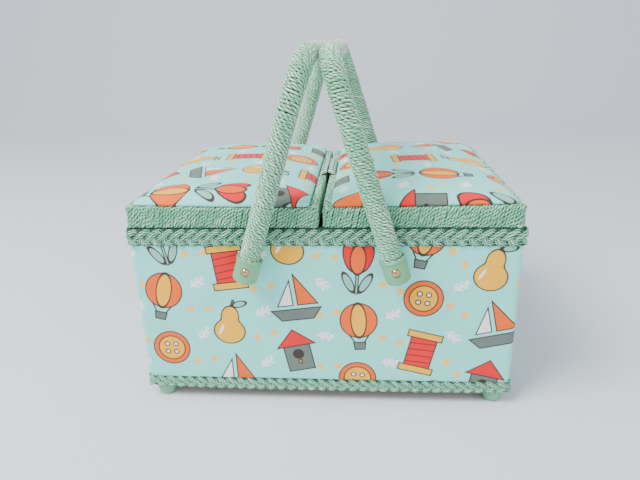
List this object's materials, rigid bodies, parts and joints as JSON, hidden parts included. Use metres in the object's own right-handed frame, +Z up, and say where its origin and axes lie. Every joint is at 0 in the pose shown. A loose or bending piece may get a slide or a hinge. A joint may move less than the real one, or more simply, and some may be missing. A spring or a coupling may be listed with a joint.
{
  "type": "sewing carrier",
  "caption": "Rectangular cloth-covered sewing carrier with padded lids hinged at both ends, plaited braid trim, small feet and twine-wound arch handles on rivet pivots.",
  "frame": {"origin": "on the table under the middle of the carrier, at the feet's soles", "axes": "+X to the right along the long side, +Y to the back, +Z up; lids shut and handles leaning together"},
  "size_m": [0.2822, 0.2352, 0.2569],
  "materials": {
    "board": "raw fibreboard",
    "printed_cloth": "printed cotton over thin wadding",
    "satin": "satin",
    "twine": "glossy two-ply paper twine",
    "braid": "plaited glossy twine",
    "green_plastic": "satin moulded plastic",
    "handle_core": "moulded rod",
    "rivet_metal": "polished",
    "hinge_metal": "plated, satin",
    "screw_steel": "zinc plated",
    "washer_plastic": "nylon"
  },
  "bodies": {
    "basket": {"bottom_board": "board", "front_wall": "board", "back_wall": "board", "left_wall": "board", "right_wall": "board", "outer_cover": "printed_cloth", "wall_lining": "satin", "floor_pad": "satin", "rim_braid": "braid", "base_braid": "braid", "feet": "green_plastic", "foot_screws": "screw_steel", "box_hinge_leaves": "hinge_metal", "hinge_pins": "hinge_metal", "box_hinge_screws": "hinge_metal", "handle_rivets": "rivet_metal", "spacer_washers": "washer_plastic", "inner_washers": "screw_steel"},
    "left_lid": {"left_lid_frame": "board", "left_lid_edge_winding": "twine", "left_lid_panel": "board", "left_lid_cushion": "printed_cloth", "left_lid_lining": "satin", "left_lid_pull_tab": "printed_cloth", "left_lid_hinge_leaves": "hinge_metal", "left_lid_hinge_screws": "hinge_metal"},
    "left_handle": {"left_handle_core": "handle_core", "left_handle_winding": "twine", "left_handle_front_ferrule": "green_plastic", "left_handle_back_ferrule": "green_plastic"},
    "right_lid": {"right_lid_frame": "board", "right_lid_edge_winding": "twine", "right_lid_panel": "board", "right_lid_cushion": "printed_cloth", "right_lid_lining": "satin", "right_lid_pull_tab": "printed_cloth", "right_lid_hinge_leaves": "hinge_metal", "right_lid_hinge_screws": "hinge_metal"},
    "right_handle": {"right_handle_core": "handle_core", "right_handle_winding": "twine", "right_handle_front_ferrule": "green_plastic", "right_handle_back_ferrule": "green_plastic"}
  },
  "joints": [
    {"name": "left_lid_hinge", "type": "hinge", "parent": "basket", "child": "left_lid", "pos_m": [-0.1392, 0, 0.1382], "axis": [0, -1, 0], "range_deg": [0, 180]},
    {"name": "right_lid_hinge", "type": "hinge", "parent": "basket", "child": "right_lid", "pos_m": [0.1392, 0, 0.1382], "axis": [0, 1, 0], "range_deg": [0, 180]},
    {"name": "left_handle_pivot", "type": "hinge", "parent": "basket", "child": "left_handle", "pos_m": [-0.05, 0, 0.1133], "axis": [0, -1, 0], "range_deg": [0, 148]},
    {"name": "right_handle_pivot", "type": "hinge", "parent": "basket", "child": "right_handle", "pos_m": [0.05, 0, 0.1133], "axis": [0, 1, 0], "range_deg": [0, 148]}
  ]
}
